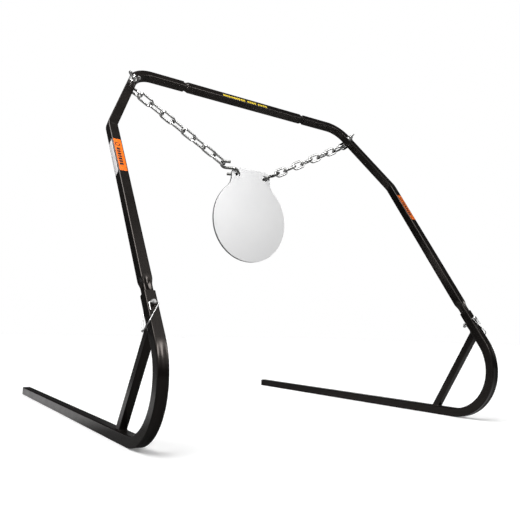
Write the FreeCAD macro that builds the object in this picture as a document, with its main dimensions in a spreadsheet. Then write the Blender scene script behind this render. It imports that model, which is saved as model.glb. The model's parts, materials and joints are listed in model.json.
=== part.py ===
# Hanging steel gong on a take-down stand of bent square tube.
# Units are millimetres.  +X is to the right, +Y to the back, +Z up; the origin is on the
# ground, at the middle of the stand's footprint.
import FreeCAD, Part
import Sketcher
import math
import os

OUTPUT_FOLDER = "parts"
SIDES = {"left": -1, "right": 1}

Vector = FreeCAD.Vector
Rotation = FreeCAD.Rotation
Placement = FreeCAD.Placement

X_AXIS = Vector(1, 0, 0)
Y_AXIS = Vector(0, 1, 0)
Z_AXIS = Vector(0, 0, 1)

# ---------------------------------------------------------------- driving dimensions

DIMENSIONS = {
    # main square tube
    "tube_size": 25.4,
    "tube_wall": 2.0,
    "tube_corner": 2.6,
    "bore_corner": 1.2,
    # base: a long foot, a big front arc and a socket that leans back
    "foot_length": 1030.0,
    "arc_radius": 134.0,
    "lean_angle": 33.5,
    "socket_length": 111.0,
    # upright: straight, shoulder bend, inclined run, corner bend, stub
    "upright_length": 530.0,
    "shoulder_radius": 45.0,
    "shoulder_angle": 22.2,
    "shoulder_run": 249.5,
    "corner_radius": 73.0,
    "crossbar_half": 348.0,
    "joint_half": 236.5,
    "joint_shift": -5.5,
    # swaged ends
    "swage_size": 21.0,
    "swage_corner": 4.0,
    "swage_bore": 17.4,
    "upright_neck_shown": 16.0,
    "upright_taper": 20.0,
    "upright_neck_inside": 62.0,
    "crossbar_neck_shown": 6.0,
    "crossbar_taper": 10.0,
    "crossbar_neck_inside": 55.0,
    # brace between the foot and the socket
    "brace_size": 19.05,
    "brace_wall": 1.5,
    "brace_corner": 1.6,
    "brace_foot_back": 70.0,
    "brace_socket_up": 46.0,
    # plastic plug in the back end of each foot
    "cap_flange": 3.0,
    "cap_plug": 21.2,
    "cap_plug_length": 16.0,
    # labels
    "label_thickness": 0.25,
    "label_length": 116.0,
    "label_drop_left": 59.0,
    "label_drop_right": 42.0,
    "strip_length": 180.0,
    "strip_height": 15.0,
    "strip_offset": -17.0,
    "strip_drop": 2.5,
    # lock pin and its wire bail
    "pin_drop": 33.0,
    "pin_hole": 8.16,
    "pin_diameter": 8.0,
    "pin_head": 12.0,
    "pin_head_height": 9.0,
    "pin_tail": 18.0,
    "pin_taper": 2.0,
    "pin_head_gap": 0.2,
    "pin_dome": 4.2,
    "wire_diameter": 2.6,
    "wire_hole": 2.8,
    "bail_reach": 53.0,
    "bail_bend": 8.5,
    "bail_angle_left": 22.0,
    "bail_angle_right": 18.0,
    "bail_gap": 10.0,
    "bail_stub": 20.0,
    "bail_outer_gap": 4.2,
    "bail_inner_gap": 6.6,
    "bail_tight_bend": 2.9,
    "clip_gap": 2.2,
    "clip_bend": 4.6,
    "clip_end": 2.0,
    # anchor bolt, washers and wing nut
    "bolt_diameter": 8.0,
    "bolt_hole": 8.6,
    "bolt_drop": 15.0,
    "bolt_stick_out": 18.0,
    "bolt_head_flats": 13.0,
    "bolt_head_height": 5.3,
    "washer_diameter": 24.0,
    "washer_bore": 8.4,
    "washer_thickness": 1.8,
    "nut_boss": 15.0,
    "nut_height": 10.0,
    "nut_bore": 8.1,
    "nut_wing_span": 40.0,
    "nut_wing_thickness": 3.0,
    "nut_wing_rise": 8.0,
    "nut_turn": -52.0,
    "nut_wing_root": 4.5,
    "nut_wing_waist": 3.5,
    "nut_ear_inset": 8.5,
    "nut_ear_bevel": 3.0,
    "nut_wing_edge": 0.7,
    # chain
    "link_wire": 7.0,
    "link_pitch": 41.0,
    "link_gap": 15.5,
    "link_play": 0.4,
    "link_room": 6.0,
    "link_slack": 0.1,
    "swing_play": 1.9,
    "link_slope": 37.0,
    "hanging_links": 8,
    # hooks
    "hook_wire": 9.4,
    "hook_radius": 13.0,
    "hook_play": 0.7,
    "hook_lift": 1.2,
    "hook_tip": 18.0,
    "hook_low_tip": 24.0,
    "hook_twist_left": 20.0,
    "hook_twist_right": 6.0,
    # gong
    "gong_thickness": 9.5,
    "gong_radius": 135.5,
    "gong_neck_radius": 50.0,
    "gong_neck_half": 73.5,
    "gong_top_rise": 169.0,
    "gong_top_corner": 25.0,
    "gong_edge_chamfer": 0.8,
    "gong_hole": 19.0,
    "gong_hole_half": 52.0,
    "gong_hole_drop": 22.0,
    "gong_hole_height": 743.0,
}

doc = FreeCAD.newDocument("hanging_gong_stand")
sheet = doc.addObject("Spreadsheet::Sheet", "dims")
for row, (alias, value) in enumerate(DIMENSIONS.items(), start=1):
    sheet.set(f"A{row}", alias)
    sheet.set(f"B{row}", str(value))
    sheet.setAlias(f"B{row}", alias)
doc.recompute()


def size(alias):
    """A driving dimension, read back from the sheet."""
    return float(sheet.get(alias))


# ---------------------------------------------------------------- derived layout

HALF_TUBE = size("tube_size") / 2
LEAN = math.radians(size("lean_angle"))
UP = Vector(0, math.sin(LEAN), math.cos(LEAN))
FRONT = Vector(0, -math.cos(LEAN), math.sin(LEAN))
LEAN_TURN = Rotation(X_AXIS, -size("lean_angle"))
FRONT_TURN = Rotation(X_AXIS, UP, FRONT, "ZXY")
SHOULDER = math.radians(size("shoulder_angle"))
CORNER = math.pi / 2 - SHOULDER

# half the distance between the two feet
HALF_TRACK = (size("crossbar_half") + size("corner_radius") * math.sin(CORNER)
              + size("shoulder_run") * math.sin(SHOULDER)
              + size("shoulder_radius") * (1 - math.cos(SHOULDER)))
# the stand's footprint runs from the front of the arc to the back of the foot cap
FOOT_BACK = size("foot_length") + size("cap_flange")
ARC_FRONT = size("arc_radius") + HALF_TUBE
MID_DEPTH = (FOOT_BACK - ARC_FRONT) / 2

ARC_END_Y = -size("arc_radius") * math.cos(LEAN)
ARC_END_Z = HALF_TUBE + size("arc_radius") * (1 + math.sin(LEAN))
SOCKET_TOP = (Vector(0, ARC_END_Y - MID_DEPTH, ARC_END_Z) + UP * size("socket_length"))
# heights measured along the lean, from the socket's top
SHOULDER_END = size("upright_length") + size("shoulder_radius") * math.sin(SHOULDER)
CORNER_START = SHOULDER_END + size("shoulder_run") * math.cos(SHOULDER)
CROSSBAR_RISE = CORNER_START + size("corner_radius") * (1 - math.cos(CORNER))
CORNER_START_X = size("crossbar_half") + size("corner_radius") * math.sin(CORNER)
# the anchor bolt sits on the inclined run, just below the corner bend
BOLT_X = CORNER_START_X + size("bolt_drop") * math.sin(SHOULDER)
BOLT_RISE = CORNER_START - size("bolt_drop") * math.cos(SHOULDER)


def leaning(x, rise, forward=0.0):
    """A point of the leaning frame: across, up along the lean, out of the front face."""
    return SOCKET_TOP + X_AXIS * x + UP * rise + FRONT * forward


def leaning_place(x, rise, forward=0.0):
    """A local frame whose Z runs up the lean and whose Y points out of the back face."""
    return Placement(leaning(x, rise, forward), LEAN_TURN)


# ---------------------------------------------------------------- sketch helpers

def new_body(label, placement=None):
    body = doc.addObject("PartDesign::Body", label)
    body.Label = label
    if placement is not None:
        body.Placement = placement
    return body


def new_sketch(body, name, plane, offset=None):
    """A sketch on one of the body's own origin planes, moved along its normal."""
    sketch = body.newObject("Sketcher::SketchObject", name)
    support = [f for f in body.Origin.OriginFeatures if f.Role == plane][0]
    sketch.AttachmentSupport = [(support, "")]
    sketch.MapMode = "FlatFace"
    if offset is not None:
        sketch.setExpression("AttachmentOffset.Base.z", offset)
    return sketch


def bind(sketch, constraint, name, expression):
    """Add a constraint, give it a name and tie it to the sheet."""
    index = sketch.addConstraint(constraint)
    sketch.renameConstraint(index, name)
    sketch.setExpression("Constraints." + name, expression)


def rounded_square(sketch, side, corner, side_expression, corner_expression, tag):
    """A square with round corners, centred on the sketch's origin."""
    half = side / 2
    flat = half - corner
    first = sketch.GeometryCount
    line_ends = [(-flat, -half, flat, -half), (half, -flat, half, flat),
                 (flat, half, -flat, half), (-half, flat, -half, -flat)]
    for x1, y1, x2, y2 in line_ends:
        sketch.addGeometry(Part.LineSegment(Vector(x1, y1, 0), Vector(x2, y2, 0)), False)
    arc_starts = [(flat, -flat, -90), (flat, flat, 0), (-flat, flat, 90), (-flat, -flat, 180)]
    for cx, cy, start in arc_starts:
        circle = Part.Circle(Vector(cx, cy, 0), Z_AXIS, corner)
        arc = Part.ArcOfCircle(circle, math.radians(start), math.radians(start + 90))
        sketch.addGeometry(arc, False)
    for k in range(4):
        direction = "Horizontal" if k % 2 == 0 else "Vertical"
        sketch.addConstraint(Sketcher.Constraint(direction, first + k))
        arc = first + 4 + k
        following = first + (k + 1) % 4
        sketch.addConstraint(Sketcher.Constraint("Tangent", first + k, 2, arc, 1))
        sketch.addConstraint(Sketcher.Constraint("Tangent", arc, 2, following, 1))
    for k in range(1, 4):
        sketch.addConstraint(Sketcher.Constraint("Equal", first + 4, first + 4 + k))
    sketch.addConstraint(Sketcher.Constraint("Symmetric", first, 1, first + 2, 1, -1, 1))
    bind(sketch, Sketcher.Constraint("Radius", first + 4, corner), tag + "_corner",
         corner_expression)
    bind(sketch, Sketcher.Constraint("DistanceX", first + 3, 1, first + 1, 1, side),
         tag + "_width", side_expression)
    bind(sketch, Sketcher.Constraint("DistanceY", first, 1, first + 2, 1, side),
         tag + "_height", side_expression)


def tube_profile(sketch):
    """The main tube's wall: outer square and bore."""
    bore = size("tube_size") - 2 * size("tube_wall")
    rounded_square(sketch, size("tube_size"), size("tube_corner"),
                   "dims.tube_size", "dims.tube_corner", "outer")
    rounded_square(sketch, bore, size("bore_corner"),
                   "dims.tube_size - 2 * dims.tube_wall", "dims.bore_corner", "bore")


def bent_path(sketch, start, heading, steps):
    """Straight runs joined by tangent arcs.

    heading is in degrees from the sketch's X axis.  A step is ("run", length, expression,
    direction expression) or ("bend", radius, expression, turn in degrees).
    """
    point = Vector(start[0], start[1], 0)
    previous = None
    for number, step in enumerate(steps):
        index = sketch.GeometryCount
        angle = math.radians(heading)
        along = Vector(math.cos(angle), math.sin(angle), 0)
        if step[0] == "run":
            end = point + along * step[1]
            sketch.addGeometry(Part.LineSegment(point, end), False)
            first_end, last_end = 1, 2
            bind(sketch, Sketcher.Constraint("Distance", index, step[1]),
                 f"run_{number}", step[2])
            bind(sketch, Sketcher.Constraint("Angle", index, angle),
                 f"direction_{number}", step[3])
            point = end
        else:
            radius, turn = step[1], step[3]
            side = 1 if turn > 0 else -1
            across = Vector(-along.y, along.x, 0) * side
            centre = point + across * radius
            from_angle = math.atan2(-across.y, -across.x)
            to_angle = from_angle + math.radians(turn)
            circle = Part.Circle(centre, Z_AXIS, radius)
            low, high = min(from_angle, to_angle), max(from_angle, to_angle)
            sketch.addGeometry(Part.ArcOfCircle(circle, low, high), False)
            first_end, last_end = (1, 2) if turn > 0 else (2, 1)
            bind(sketch, Sketcher.Constraint("Radius", index, radius), f"bend_{number}", step[2])
            point = centre + Vector(math.cos(to_angle), math.sin(to_angle), 0) * radius
            heading += turn
        if previous is None:
            sketch.addConstraint(Sketcher.Constraint("DistanceX", -1, 1, index, first_end,
                                                     start[0]))
            sketch.addConstraint(Sketcher.Constraint("DistanceY", -1, 1, index, first_end,
                                                     start[1]))
        else:
            sketch.addConstraint(Sketcher.Constraint("Tangent", previous[0], previous[1],
                                                     index, first_end))
        previous = (index, last_end)


def add_pipe(body, profile, path):
    pipe = body.newObject("PartDesign::AdditivePipe", "pipe")
    pipe.Profile = profile
    edges = [f"Edge{k + 1}" for k in range(path.GeometryCount)]
    pipe.Spine = (path, edges)
    pipe.Transition = "Transformed"
    return pipe


def add_pad(body, profile, length_expression, backwards=False, midplane=False):
    pad = body.newObject("PartDesign::Pad", "pad")
    pad.Profile = profile
    pad.setExpression("Length", length_expression)
    pad.Reversed = backwards
    pad.Midplane = midplane
    return pad


def add_pocket(body, profile, length_expression, backwards=False, midplane=False):
    pocket = body.newObject("PartDesign::Pocket", "pocket")
    pocket.Profile = profile
    pocket.setExpression("Length", length_expression)
    pocket.Reversed = backwards
    pocket.Midplane = midplane
    return pocket


def add_loft(body, first, second):
    loft = body.newObject("PartDesign::AdditiveLoft", "loft")
    loft.Profile = first
    loft.Sections = [second]
    loft.Ruled = True
    return loft


def circle_sketch(body, name, plane, centre, diameter_expression, diameter, offset=None):
    sketch = new_sketch(body, name, plane, offset)
    sketch.addGeometry(Part.Circle(Vector(centre[0], centre[1], 0), Z_AXIS, diameter / 2), False)
    sketch.addConstraint(Sketcher.Constraint("DistanceX", -1, 1, 0, 3, centre[0]))
    sketch.addConstraint(Sketcher.Constraint("DistanceY", -1, 1, 0, 3, centre[1]))
    bind(sketch, Sketcher.Constraint("Diameter", 0, diameter), "diameter", diameter_expression)
    return sketch


def cross_hole(body, name, centre, alias):
    """A hole along the local Y axis, right through the tube."""
    sketch = circle_sketch(body, name, "XZ_Plane", centre, "dims." + alias, size(alias))
    add_pocket(body, sketch, "dims.tube_size * 3", midplane=True)


# ---------------------------------------------------------------- frame tubes

def make_base_tube(name, side):
    """Socket, front arc and foot in one bend.  The local frame starts at the socket's top."""
    body = new_body("base_tube_" + name, leaning_place(side * HALF_TRACK, 0))
    path = new_sketch(body, "base_path_" + name, "YZ_Plane")
    bent_path(path, (0, 0), -90, [
        ("run", size("socket_length"), "dims.socket_length", "-90 deg"),
        ("bend", size("arc_radius"), "dims.arc_radius", 90 + size("lean_angle")),
        ("run", size("foot_length"), "dims.foot_length", "dims.lean_angle * 1 deg"),
    ])
    profile = new_sketch(body, "base_profile_" + name, "XY_Plane")
    tube_profile(profile)
    add_pipe(body, profile, path)
    cross_hole(body, "base_pin_hole_" + name, (0, -size("pin_drop")), "pin_hole")
    return body


def make_upright(name, side):
    """Upright with its swaged lower end.  The local frame starts at the socket's top."""
    body = new_body("upright_" + name, leaning_place(side * HALF_TRACK, 0))
    full_start = size("upright_neck_shown") + size("upright_taper")
    lean_in = f"90 deg + {side} * dims.shoulder_angle * 1 deg"
    level = "180 deg" if side > 0 else "0 deg"
    path = new_sketch(body, "upright_path_" + name, "XZ_Plane")
    bent_path(path, (0, full_start), 90, [
        ("run", size("upright_length") - full_start,
         "dims.upright_length - dims.upright_neck_shown - dims.upright_taper", "90 deg"),
        ("bend", size("shoulder_radius"), "dims.shoulder_radius", side * size("shoulder_angle")),
        ("run", size("shoulder_run"), "dims.shoulder_run", lean_in),
        ("bend", size("corner_radius"), "dims.corner_radius",
         side * (90 - size("shoulder_angle"))),
        ("run", size("crossbar_half") - size("joint_half") - side * size("joint_shift"),
         f"dims.crossbar_half - dims.joint_half - ({side}) * dims.joint_shift", level),
    ])
    profile = new_sketch(body, "upright_profile_" + name, "XY_Plane",
                         "dims.upright_neck_shown + dims.upright_taper")
    tube_profile(profile)
    add_pipe(body, profile, path)

    shoulder = new_sketch(body, "upright_full_" + name, "XY_Plane",
                          "dims.upright_neck_shown + dims.upright_taper")
    rounded_square(shoulder, size("tube_size"), size("tube_corner"),
                   "dims.tube_size", "dims.tube_corner", "outer")
    neck = new_sketch(body, "upright_neck_" + name, "XY_Plane", "dims.upright_neck_shown")
    rounded_square(neck, size("swage_size"), size("swage_corner"),
                   "dims.swage_size", "dims.swage_corner", "neck")
    add_loft(body, shoulder, neck)
    spigot = new_sketch(body, "upright_spigot_" + name, "XY_Plane", "dims.upright_neck_shown")
    rounded_square(spigot, size("swage_size"), size("swage_corner"),
                   "dims.swage_size", "dims.swage_corner", "neck")
    add_pad(body, spigot, "dims.upright_neck_shown + dims.upright_neck_inside", backwards=True)
    bore = new_sketch(body, "upright_bore_" + name, "XY_Plane", "-dims.upright_neck_inside - 1")
    rounded_square(bore, size("swage_bore"), size("bore_corner"),
                   "dims.swage_bore", "dims.bore_corner", "bore")
    add_pocket(body, bore,
               "dims.upright_neck_inside + dims.upright_neck_shown + dims.upright_taper + 2",
               backwards=True)
    cross_hole(body, "upright_pin_hole_" + name, (0, -size("pin_drop")), "pin_hole")
    bolt_x = -side * (HALF_TRACK - BOLT_X)
    cross_hole(body, "upright_bolt_hole_" + name, (bolt_x, BOLT_RISE), "bolt_hole")
    return body


def make_crossbar():
    """Crossbar with a swaged end that slips into each upright's stub."""
    turn = LEAN_TURN.multiply(Rotation(Y_AXIS, 90))
    body = new_body("crossbar", Placement(leaning(size("joint_shift"), CROSSBAR_RISE), turn))
    full = "dims.joint_half - dims.crossbar_neck_shown - dims.crossbar_taper"
    middle = new_sketch(body, "crossbar_middle", "XY_Plane")
    rounded_square(middle, size("tube_size"), size("tube_corner"),
                   "dims.tube_size", "dims.tube_corner", "outer")
    add_pad(body, middle, f"2 * ({full})", midplane=True)
    for end, sign in (("plus", ""), ("minus", "-1 * ")):
        shoulder = new_sketch(body, "crossbar_full_" + end, "XY_Plane", f"{sign}({full})")
        rounded_square(shoulder, size("tube_size"), size("tube_corner"),
                       "dims.tube_size", "dims.tube_corner", "outer")
        neck_at = f"{sign}(dims.joint_half - dims.crossbar_neck_shown)"
        neck = new_sketch(body, "crossbar_neck_" + end, "XY_Plane", neck_at)
        rounded_square(neck, size("swage_size"), size("swage_corner"),
                       "dims.swage_size", "dims.swage_corner", "neck")
        add_loft(body, shoulder, neck)
        spigot = new_sketch(body, "crossbar_spigot_" + end, "XY_Plane", neck_at)
        rounded_square(spigot, size("swage_size"), size("swage_corner"),
                       "dims.swage_size", "dims.swage_corner", "neck")
        add_pad(body, spigot, "dims.crossbar_neck_shown + dims.crossbar_neck_inside",
                backwards=(end == "minus"))
    bore = new_sketch(body, "crossbar_bore", "XY_Plane")
    rounded_square(bore, size("swage_bore"), size("bore_corner"),
                   "dims.swage_bore", "dims.bore_corner", "bore")
    add_pocket(body, bore, "2 * (dims.joint_half + dims.crossbar_neck_inside) + 4",
               midplane=True)
    return body


def make_brace(name, side):
    """Square brace, cut flush to the top of the foot and to the back of the socket."""
    lower = Vector(side * HALF_TRACK, size("brace_foot_back") - MID_DEPTH, HALF_TUBE)
    upper = leaning(side * HALF_TRACK, size("brace_socket_up") - size("socket_length"))
    along = upper - lower
    length = along.Length
    along.normalize()
    turn = Rotation(X_AXIS, -math.degrees(math.atan2(along.y, along.z)))
    blank = new_body("brace_blank_" + name, Placement(lower, turn))
    wall = new_sketch(blank, "brace_profile_" + name, "XY_Plane")
    rounded_square(wall, size("brace_size"), size("brace_corner"),
                   "dims.brace_size", "dims.brace_corner", "outer")
    rounded_square(wall, size("brace_size") - 2 * size("brace_wall"),
                   size("brace_corner") / 4, "dims.brace_size - 2 * dims.brace_wall",
                   "dims.brace_corner / 4", "bore")
    add_pad(blank, wall, f"{length}")

    wide = size("tube_size") * 3
    foot_cut = doc.addObject("Part::Box", "brace_foot_cut_" + name)
    foot_cut.Length = foot_cut.Width = wide
    foot_cut.setExpression("Height", "dims.tube_size * 2")
    foot_cut.Placement = Placement(
        Vector(side * HALF_TRACK - wide / 2, lower.y - wide / 2, -size("tube_size")), Rotation())
    socket_cut = doc.addObject("Part::Box", "brace_socket_cut_" + name)
    socket_cut.Length = socket_cut.Height = wide
    socket_cut.setExpression("Width", "dims.tube_size * 2")
    corner = upper - X_AXIS * (wide / 2) - UP * (wide / 2) + FRONT * (HALF_TUBE * 3)
    socket_cut.Placement = Placement(corner, LEAN_TURN)

    cuts = doc.addObject("Part::Fuse", "brace_cuts_" + name)
    cuts.Base = foot_cut
    cuts.Tool = socket_cut
    brace = doc.addObject("Part::Cut", "brace_" + name)
    brace.Label = "brace_" + name
    brace.Base = blank
    brace.Tool = cuts
    return brace


def make_foot_cap(name, side):
    """Plastic plug in the open back end of the foot."""
    place = Placement(Vector(side * HALF_TRACK, size("foot_length") - MID_DEPTH, HALF_TUBE),
                      Rotation(X_AXIS, -90))
    body = new_body("foot_cap_" + name, place)
    flange = new_sketch(body, "cap_flange_" + name, "XY_Plane")
    rounded_square(flange, size("tube_size"), size("tube_corner"),
                   "dims.tube_size", "dims.tube_corner", "flange")
    add_pad(body, flange, "dims.cap_flange")
    plug = new_sketch(body, "cap_plug_" + name, "XY_Plane")
    rounded_square(plug, size("cap_plug"), size("bore_corner"),
                   "dims.cap_plug", "dims.bore_corner", "plug")
    add_pad(body, plug, "dims.cap_plug_length", backwards=True)
    return body


# ---------------------------------------------------------------- labels

def make_side_label(name, side):
    """Label folded round the upright's outer front corner, just below the shoulder."""
    rise = size("upright_length") - size("label_drop_" + name) - size("label_length")
    body = new_body("label_" + name, leaning_place(side * HALF_TRACK, rise))
    corner = size("tube_corner")
    flat = HALF_TUBE - corner
    skin = size("label_thickness")
    outer = HALF_TUBE + skin
    # the front face is at local -Y, the outer face at local X * side
    outline = [
        Part.LineSegment(Vector(-side * flat, -HALF_TUBE, 0), Vector(side * flat, -HALF_TUBE, 0)),
        corner_arc(side, flat, corner),
        Part.LineSegment(Vector(side * HALF_TUBE, -flat, 0), Vector(side * HALF_TUBE, flat, 0)),
        Part.LineSegment(Vector(side * HALF_TUBE, flat, 0), Vector(side * outer, flat, 0)),
        Part.LineSegment(Vector(side * outer, flat, 0), Vector(side * outer, -flat, 0)),
        corner_arc(side, flat, corner + skin),
        Part.LineSegment(Vector(side * flat, -outer, 0), Vector(-side * flat, -outer, 0)),
        Part.LineSegment(Vector(-side * flat, -outer, 0), Vector(-side * flat, -HALF_TUBE, 0)),
    ]
    sketch = new_sketch(body, "label_outline_" + name, "XY_Plane")
    sketch.addGeometry(outline, False)
    for k in range(len(outline)):
        sketch.addConstraint(Sketcher.Constraint("Block", k))
    add_pad(body, sketch, "dims.label_length")
    return body


def corner_arc(side, flat, radius):
    """Quarter circle round the tube's outer front corner."""
    circle = Part.Circle(Vector(side * flat, -flat, 0), Z_AXIS, radius)
    start = -90 if side > 0 else 180
    return Part.ArcOfCircle(circle, math.radians(start), math.radians(start + 90))


def make_crossbar_label():
    strip = doc.addObject("Part::Box", "crossbar_label")
    strip.Label = "crossbar_label"
    strip.setExpression("Length", "dims.strip_length")
    strip.setExpression("Width", "dims.label_thickness")
    strip.setExpression("Height", "dims.strip_height")
    corner = leaning(size("strip_offset") - size("strip_length") / 2,
                     CROSSBAR_RISE - size("strip_drop") - size("strip_height") / 2,
                     HALF_TUBE + size("label_thickness"))
    strip.Placement = Placement(corner, LEAN_TURN)
    return strip


# ---------------------------------------------------------------- lock pins

def pin_place(side):
    """Local Z runs out of the socket's front face, local X is across the stand."""
    return Placement(leaning(side * HALF_TRACK, -size("pin_drop")), FRONT_TURN)


def make_lock_pin(name, side):
    """Headed pin, turned in one piece, with a cross hole for its wire."""
    body = new_body("lock_pin_" + name, pin_place(side))
    radius = size("pin_diameter") / 2
    head = size("pin_head") / 2
    front = HALF_TUBE + size("pin_head_gap")
    top = front + size("pin_head_height")
    taper = size("pin_taper")
    tail = -HALF_TUBE - size("pin_tail")
    dome = size("pin_dome")
    points = [(0, tail), (radius - taper, tail), (radius, tail + taper), (radius, front),
              (head, front), (head, top - taper), (dome, top), (0, top)]
    sketch = new_sketch(body, "pin_outline_" + name, "XZ_Plane")
    count = len(points)
    for k in range(count):
        a, b = points[k], points[(k + 1) % count]
        sketch.addGeometry(Part.LineSegment(Vector(a[0], a[1], 0), Vector(b[0], b[1], 0)), False)
    for k in range(count):
        sketch.addConstraint(Sketcher.Constraint("Coincident", k, 2, (k + 1) % count, 1))
    for k in range(count):
        sketch.addConstraint(Sketcher.Constraint("Block", k))
    turned = body.newObject("PartDesign::Revolution", "turned")
    turned.Profile = sketch
    turned.ReferenceAxis = (sketch, ["V_Axis"])
    turned.Angle = 360
    hole = circle_sketch(body, "pin_wire_hole_" + name, "YZ_Plane",
                         (0, wire_hole_height()), "dims.wire_hole", size("wire_hole"))
    add_pocket(body, hole, "dims.pin_head * 2", midplane=True)
    return body


def wire_hole_height():
    return HALF_TUBE + size("pin_head_height") / 2


def make_pin_wire(name, side):
    """Wire bail: through the head, round the socket's outer side and back to the pin's tail."""
    wire = size("wire_diameter")
    reach = size("bail_reach")
    angle = math.radians(size("bail_angle_" + name))
    front = Z_AXIS * wire_hole_height()
    back = Z_AXIS * (-HALF_TUBE - size("bail_gap"))
    # out points away from the pin, outwards and down the socket; local Y runs up the lean
    out = Vector(side * math.sin(angle), -math.cos(angle), 0)
    across = Vector(side * math.cos(angle), math.sin(angle), 0)
    outer_side = X_AXIS * (side * (size("pin_head") / 2 + size("bail_outer_gap")))
    inner_side = X_AXIS * (-side * (size("pin_head") / 2 + size("bail_inner_gap")))
    stub = outer_side - Y_AXIS * size("bail_stub") + front
    hook = size("pin_diameter") / 2 + size("clip_gap")
    route = [stub, outer_side + front, inner_side + front,
             out * reach + front, out * reach + back,
             back - out * hook + across * hook,
             back - out * hook - across * hook,
             back + out * size("clip_end") - across * hook]
    tight = size("bail_tight_bend")
    clip = size("clip_bend")
    radii = [tight, tight, size("bail_bend"), size("bail_bend"), clip, clip]
    shape = rod_along(route, radii, wire / 2)
    feature = doc.addObject("Part::Feature", "pin_wire_" + name)
    feature.Label = "pin_wire_" + name
    feature.Shape = shape
    feature.Placement = pin_place(side)
    return feature


def rounded_route(points, radii):
    """Edges of straight runs joined by tangent arcs; one radius for each inner point."""
    edges = []
    start = points[0]
    shortest = 1e-4
    for k, radius in enumerate(radii, start=1):
        before = (points[k] - points[k - 1]).normalize()
        after = (points[k + 1] - points[k]).normalize()
        turn = before.getAngle(after)
        trim = radius * math.tan(turn / 2)
        arc_start = points[k] - before * trim
        arc_end = points[k] + after * trim
        bisector = (after - before).normalize()
        centre = points[k] + bisector * (radius / math.cos(turn / 2))
        middle = centre - bisector * radius
        if start.distanceToPoint(arc_start) > shortest:
            edges.append(Part.LineSegment(start, arc_start).toShape())
        edges.append(Part.Arc(arc_start, middle, arc_end).toShape())
        start = arc_end
    edges.append(Part.LineSegment(start, points[-1]).toShape())
    return edges


def rod_along(points, radii, radius):
    """A round rod that follows a route."""
    edges = rounded_route(points, radii)
    spine = Part.Wire(edges)
    start = points[0]
    heading = (points[1] - points[0]).normalize()
    section = Part.Wire([Part.Circle(start, heading, radius).toShape()])
    return spine.makePipeShell([section], True, False)


# ---------------------------------------------------------------- anchor bolts

def anchor_place(side):
    """On the bolt's axis at the tube's centre; local Z runs out of the front face."""
    return Placement(leaning(side * BOLT_X, BOLT_RISE), FRONT_TURN)


def make_anchor_bolt(name, side):
    """Hexagon bolt through the tube; its head holds the chain's end link at the back."""
    head_top = -HALF_TUBE - end_link_stack() - size("washer_thickness")
    length = HALF_TUBE + size("bolt_stick_out") - head_top
    shank = doc.addObject("Part::Cylinder", "bolt_shank_" + name)
    shank.setExpression("Radius", "dims.bolt_diameter / 2")
    shank.Height = length
    shank.Placement = Placement(Z_AXIS * head_top, Rotation())
    head = doc.addObject("Part::Prism", "bolt_head_" + name)
    head.Polygon = 6
    head.setExpression("Circumradius", "dims.bolt_head_flats / sqrt(3)")
    head.setExpression("Height", "dims.bolt_head_height")
    head.Placement = Placement(Z_AXIS * (head_top - size("bolt_head_height")), Rotation())
    bolt = doc.addObject("Part::Fuse", "anchor_bolt_" + name)
    bolt.Label = "anchor_bolt_" + name
    bolt.Base = shank
    bolt.Tool = head
    bolt.Placement = anchor_place(side)
    return bolt


def end_link_stack():
    """Room for the end link's wire between the tube's back face and the back washer."""
    return size("link_wire") + size("link_room")


def make_washer(label, side, bottom):
    outer = doc.addObject("Part::Cylinder", label + "_disc")
    outer.setExpression("Radius", "dims.washer_diameter / 2")
    outer.setExpression("Height", "dims.washer_thickness")
    bore = doc.addObject("Part::Cylinder", label + "_bore")
    bore.setExpression("Radius", "dims.washer_bore / 2")
    bore.setExpression("Height", "dims.washer_thickness * 3")
    bore.Placement = Placement(Z_AXIS * -size("washer_thickness"), Rotation())
    washer = doc.addObject("Part::Cut", label)
    washer.Label = label
    washer.Base = outer
    washer.Tool = bore
    place = anchor_place(side)
    washer.Placement = Placement(place.multVec(Z_AXIS * bottom), place.Rotation)
    return washer


def make_wing_nut(name, side):
    """Round boss with two upswept wings and a tapped bore, shown as a plain hole."""
    base = HALF_TUBE + size("washer_thickness")
    place = anchor_place(side)
    turn = place.Rotation.multiply(Rotation(Z_AXIS, 90 + side * size("nut_turn")))
    body = new_body("wing_nut_" + name, Placement(place.multVec(Z_AXIS * base), turn))
    boss_radius = size("nut_boss") / 2
    height = size("nut_height")
    tip = size("nut_wing_span") / 2
    rise = height + size("nut_wing_rise")
    boss = circle_sketch(body, "nut_boss_" + name, "XY_Plane", (0, 0), "dims.nut_boss",
                         size("nut_boss"))
    add_pad(body, boss, "dims.nut_height")
    root = size("nut_wing_root")
    waist = size("nut_wing_waist")
    ear = tip - size("nut_ear_inset")
    bevel = size("nut_ear_bevel")
    edge = size("nut_wing_edge")
    for hand, sign in (("a", 1), ("b", -1)):
        wing = new_sketch(body, f"nut_wing_{hand}_{name}", "XZ_Plane")
        corners = [(root, edge), (root, height - edge), (ear, rise), (tip - bevel, rise + edge),
                   (tip, rise - bevel), (tip - bevel, waist + bevel), (boss_radius, edge)]
        points = [Vector(sign * x, z, 0) for x, z in corners]
        for k in range(len(points)):
            following = points[(k + 1) % len(points)]
            wing.addGeometry(Part.LineSegment(points[k], following), False)
        for k in range(len(points)):
            wing.addConstraint(Sketcher.Constraint("Coincident", k, 2,
                                                   (k + 1) % len(points), 1))
        for k in range(len(points)):
            wing.addConstraint(Sketcher.Constraint("Block", k))
        add_pad(body, wing, "dims.nut_wing_thickness", midplane=True)
    bore = circle_sketch(body, "nut_bore_" + name, "XY_Plane", (0, 0), "dims.nut_bore",
                         size("nut_bore"), "-1")
    add_pocket(body, bore, "dims.nut_height + 2", backwards=True)
    return body


# ---------------------------------------------------------------- chain

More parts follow.
